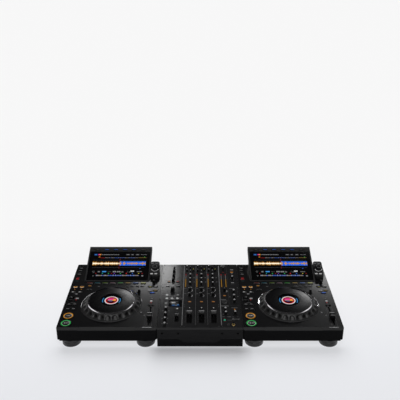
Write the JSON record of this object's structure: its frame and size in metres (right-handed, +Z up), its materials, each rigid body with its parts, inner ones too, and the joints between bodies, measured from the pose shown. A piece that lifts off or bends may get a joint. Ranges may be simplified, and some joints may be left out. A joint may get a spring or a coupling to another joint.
{
  "type": "dj player console",
  "caption": "DJ console: media players with large jog wheels and raised tilted screens on both sides of a fader mixer.",
  "frame": {"origin": "on the floor under the middle of the console's footprint box", "axes": "+Z up, +X to the user's right along the row, +Y away from the user"},
  "size_m": [0.945, 0.459, 0.1358],
  "materials": {
    "cover": "fine satin moulding",
    "dark_plastic": "satin",
    "gloss_black": "polished",
    "wheel": "satin",
    "panel_metal": "brushed and painted black",
    "sheet_metal": "powder coated",
    "lit_glass": "lit display behind clear glass",
    "rubber": "moulded",
    "steel": "bright",
    "zinc": "plated",
    "key_silver": "metallised",
    "cue_amber": "lit",
    "play_green": "lit",
    "pads": "translucent, lit",
    "board": "solder resist"
  },
  "bodies": {
    "left_jog_wheel": {"left_jog_ring": "wheel", "left_jog_plate": "gloss_black"},
    "left_tempo_fader_body": {"left_tempo_fader": "dark_plastic"},
    "left_cue_key_body": {"left_cue_key": "cue_amber"},
    "left_play_key_body": {"left_play_key": "play_green"},
    "left_hot_cue_pads_body": {"left_hot_cue_pads": "pads"},
    "left_deck_keys_body": {"left_deck_keys": "key_silver"},
    "left_menu_keys_body": {"left_menu_keys": "dark_plastic"},
    "left_browse_knob_body": {"left_browse_knob": "dark_plastic"},
    "left_touch_knob_body": {"left_touch_knob": "dark_plastic"},
    "left_jog_adjust_knob_body": {"left_jog_adjust_knob": "dark_plastic"},
    "left_direction_lever_body": {"left_direction_lever": "zinc"},
    "right_jog_wheel": {"right_jog_ring": "wheel", "right_jog_plate": "gloss_black"},
    "right_tempo_fader_body": {"right_tempo_fader": "dark_plastic"},
    "right_cue_key_body": {"right_cue_key": "cue_amber"},
    "right_play_key_body": {"right_play_key": "play_green"},
    "right_hot_cue_pads_body": {"right_hot_cue_pads": "pads"},
    "right_deck_keys_body": {"right_deck_keys": "key_silver"},
    "right_menu_keys_body": {"right_menu_keys": "dark_plastic"},
    "right_browse_knob_body": {"right_browse_knob": "dark_plastic"},
    "right_touch_knob_body": {"right_touch_knob": "dark_plastic"},
    "right_jog_adjust_knob_body": {"right_jog_adjust_knob": "dark_plastic"},
    "right_direction_lever_body": {"right_direction_lever": "zinc"},
    "mixer_keys_body": {"mixer_keys": "key_silver"},
    "channel1_fader_body": {"channel1_fader": "dark_plastic"},
    "channel1_high_knob_body": {"channel1_high_knob": "dark_plastic"},
    "channel1_mid_knob_body": {"channel1_mid_knob": "dark_plastic"},
    "channel1_low_knob_body": {"channel1_low_knob": "dark_plastic"},
    "channel2_fader_body": {"channel2_fader": "dark_plastic"},
    "channel2_high_knob_body": {"channel2_high_knob": "dark_plastic"},
    "channel2_mid_knob_body": {"channel2_mid_knob": "dark_plastic"},
    "channel2_low_knob_body": {"channel2_low_knob": "dark_plastic"},
    "channel3_fader_body": {"channel3_fader": "dark_plastic"},
    "channel3_high_knob_body": {"channel3_high_knob": "dark_plastic"},
    "channel3_mid_knob_body": {"channel3_mid_knob": "dark_plastic"},
    "channel3_low_knob_body": {"channel3_low_knob": "dark_plastic"},
    "effect_fader_body": {"effect_fader": "dark_plastic"},
    "console": {"left_top_cover": "cover", "left_base_pan": "sheet_metal", "left_screen_housing": "dark_plastic", "right_top_cover": "cover", "right_base_pan": "sheet_metal", "right_screen_housing": "dark_plastic", "screen_glasses": "lit_glass", "selector_blocks": "dark_plastic", "jog_surround_rings": "gloss_black", "jog_spindles": "zinc", "jog_bearings": "steel", "jog_center_displays": "lit_glass", "mixer_case": "sheet_metal", "mixer_top_panel": "panel_metal", "mixer_front_panel": "panel_metal", "mixer_displays": "lit_glass", "mixer_small_knobs": "dark_plastic", "fader_rails": "sheet_metal", "rubber_feet": "rubber", "sockets": "dark_plastic", "case_screws": "steel", "circuit_boards": "board"}
  },
  "joints": [
    {"name": "left_jog_spin", "type": "hinge", "parent": "console", "child": "left_jog_wheel", "pos_m": [-0.3075, -0.0895, 0.079], "axis": [0, 0, 1], "continuous": true},
    {"name": "left_tempo_slide", "type": "slide", "parent": "console", "child": "left_tempo_fader_body", "axis": [0, 1, 0], "range_m": [-0.037, 0.059]},
    {"name": "left_cue_key_press", "type": "slide", "parent": "console", "child": "left_cue_key_body", "axis": [0, 0, -1], "range_m": [0, 0.0008], "stiffness_N_per_m": 300},
    {"name": "left_play_key_press", "type": "slide", "parent": "console", "child": "left_play_key_body", "axis": [0, 0, -1], "range_m": [0, 0.0008], "stiffness_N_per_m": 300},
    {"name": "left_hot_cue_pads_press", "type": "slide", "parent": "console", "child": "left_hot_cue_pads_body", "axis": [0, 0, -1], "range_m": [0, 0.0008], "stiffness_N_per_m": 300},
    {"name": "left_deck_keys_press", "type": "slide", "parent": "console", "child": "left_deck_keys_body", "axis": [0, 0, -1], "range_m": [0, 0.0008], "stiffness_N_per_m": 300},
    {"name": "left_menu_keys_press", "type": "slide", "parent": "console", "child": "left_menu_keys_body", "axis": [0, 0.3173, -0.9483], "range_m": [0, 0.0008], "stiffness_N_per_m": 300},
    {"name": "left_browse_turn", "type": "hinge", "parent": "console", "child": "left_browse_knob_body", "pos_m": [-0.16975, 0.11069, 0.10411], "axis": [0, -0.3173, 0.9483], "continuous": true},
    {"name": "left_touch_knob_turn", "type": "hinge", "parent": "console", "child": "left_touch_knob_body", "pos_m": [-0.219, -0.016, 0.079], "axis": [0, 0, 1], "range_deg": [-150, 150]},
    {"name": "left_jog_adjust_knob_turn", "type": "hinge", "parent": "console", "child": "left_jog_adjust_knob_body", "pos_m": [-0.17, 0.047, 0.079], "axis": [0, 0, 1], "range_deg": [-150, 150]},
    {"name": "left_direction_lever_tilt", "type": "hinge", "parent": "console", "child": "left_direction_lever_body", "pos_m": [-0.4545, -0.0575, 0.0755], "axis": [1, 0, 0], "range_deg": [-12, 12]},
    {"name": "right_jog_spin", "type": "hinge", "parent": "console", "child": "right_jog_wheel", "pos_m": [0.3075, -0.0895, 0.079], "axis": [0, 0, 1], "continuous": true},
    {"name": "right_tempo_slide", "type": "slide", "parent": "console", "child": "right_tempo_fader_body", "axis": [0, 1, 0], "range_m": [-0.037, 0.059]},
    {"name": "right_cue_key_press", "type": "slide", "parent": "console", "child": "right_cue_key_body", "axis": [0, 0, -1], "range_m": [0, 0.0008], "stiffness_N_per_m": 300},
    {"name": "right_play_key_press", "type": "slide", "parent": "console", "child": "right_play_key_body", "axis": [0, 0, -1], "range_m": [0, 0.0008], "stiffness_N_per_m": 300},
    {"name": "right_hot_cue_pads_press", "type": "slide", "parent": "console", "child": "right_hot_cue_pads_body", "axis": [0, 0, -1], "range_m": [0, 0.0008], "stiffness_N_per_m": 300},
    {"name": "right_deck_keys_press", "type": "slide", "parent": "console", "child": "right_deck_keys_body", "axis": [0, 0, -1], "range_m": [0, 0.0008], "stiffness_N_per_m": 300},
    {"name": "right_menu_keys_press", "type": "slide", "parent": "console", "child": "right_menu_keys_body", "axis": [0, 0.3173, -0.9483], "range_m": [0, 0.0008], "stiffness_N_per_m": 300},
    {"name": "right_browse_turn", "type": "hinge", "parent": "console", "child": "right_browse_knob_body", "pos_m": [0.44525, 0.11069, 0.10411], "axis": [0, -0.3173, 0.9483], "continuous": true},
    {"name": "right_touch_knob_turn", "type": "hinge", "parent": "console", "child": "right_touch_knob_body", "pos_m": [0.396, -0.016, 0.079], "axis": [0, 0, 1], "range_deg": [-150, 150]},
    {"name": "right_jog_adjust_knob_turn", "type": "hinge", "parent": "console", "child": "right_jog_adjust_knob_body", "pos_m": [0.445, 0.047, 0.079], "axis": [0, 0, 1], "range_deg": [-150, 150]},
    {"name": "right_direction_lever_tilt", "type": "hinge", "parent": "console", "child": "right_direction_lever_body", "pos_m": [0.1605, -0.0575, 0.0755], "axis": [1, 0, 0], "range_deg": [-12, 12]},
    {"name": "mixer_keys_press", "type": "slide", "parent": "console", "child": "mixer_keys_body", "axis": [0, 0, -1], "range_m": [0, 0.0008], "stiffness_N_per_m": 300},
    {"name": "channel1_fader_slide", "type": "slide", "parent": "console", "child": "channel1_fader_body", "axis": [0, 1, 0], "range_m": [-0.043, 0.017]},
    {"name": "channel1_high_knob_turn", "type": "hinge", "parent": "console", "child": "channel1_high_knob_body", "pos_m": [-0.0362, 0.0955, 0.079], "axis": [0, 0, 1], "range_deg": [-150, 150]},
    {"name": "channel1_mid_knob_turn", "type": "hinge", "parent": "console", "child": "channel1_mid_knob_body", "pos_m": [-0.0362, 0.0665, 0.079], "axis": [0, 0, 1], "range_deg": [-150, 150]},
    {"name": "channel1_low_knob_turn", "type": "hinge", "parent": "console", "child": "channel1_low_knob_body", "pos_m": [-0.0362, 0.0375, 0.079], "axis": [0, 0, 1], "range_deg": [-150, 150]},
    {"name": "channel2_fader_slide", "type": "slide", "parent": "console", "child": "channel2_fader_body", "axis": [0, 1, 0], "range_m": [-0.043, 0.017]},
    {"name": "channel2_high_knob_turn", "type": "hinge", "parent": "console", "child": "channel2_high_knob_body", "pos_m": [0.0053, 0.0955, 0.079], "axis": [0, 0, 1], "range_deg": [-150, 150]},
    {"name": "channel2_mid_knob_turn", "type": "hinge", "parent": "console", "child": "channel2_mid_knob_body", "pos_m": [0.0053, 0.0665, 0.079], "axis": [0, 0, 1], "range_deg": [-150, 150]},
    {"name": "channel2_low_knob_turn", "type": "hinge", "parent": "console", "child": "channel2_low_knob_body", "pos_m": [0.0053, 0.0375, 0.079], "axis": [0, 0, 1], "range_deg": [-150, 150]},
    {"name": "channel3_fader_slide", "type": "slide", "parent": "console", "child": "channel3_fader_body", "axis": [0, 1, 0], "range_m": [-0.043, 0.017]},
    {"name": "channel3_high_knob_turn", "type": "hinge", "parent": "console", "child": "channel3_high_knob_body", "pos_m": [0.0468, 0.0955, 0.079], "axis": [0, 0, 1], "range_deg": [-150, 150]},
    {"name": "channel3_mid_knob_turn", "type": "hinge", "parent": "console", "child": "channel3_mid_knob_body", "pos_m": [0.0468, 0.0665, 0.079], "axis": [0, 0, 1], "range_deg": [-150, 150]},
    {"name": "channel3_low_knob_turn", "type": "hinge", "parent": "console", "child": "channel3_low_knob_body", "pos_m": [0.0468, 0.0375, 0.079], "axis": [0, 0, 1], "range_deg": [-150, 150]},
    {"name": "effect_fader_slide", "type": "slide", "parent": "console", "child": "effect_fader_body", "axis": [0, 1, 0], "range_m": [-0.024, 0.016]}
  ]
}
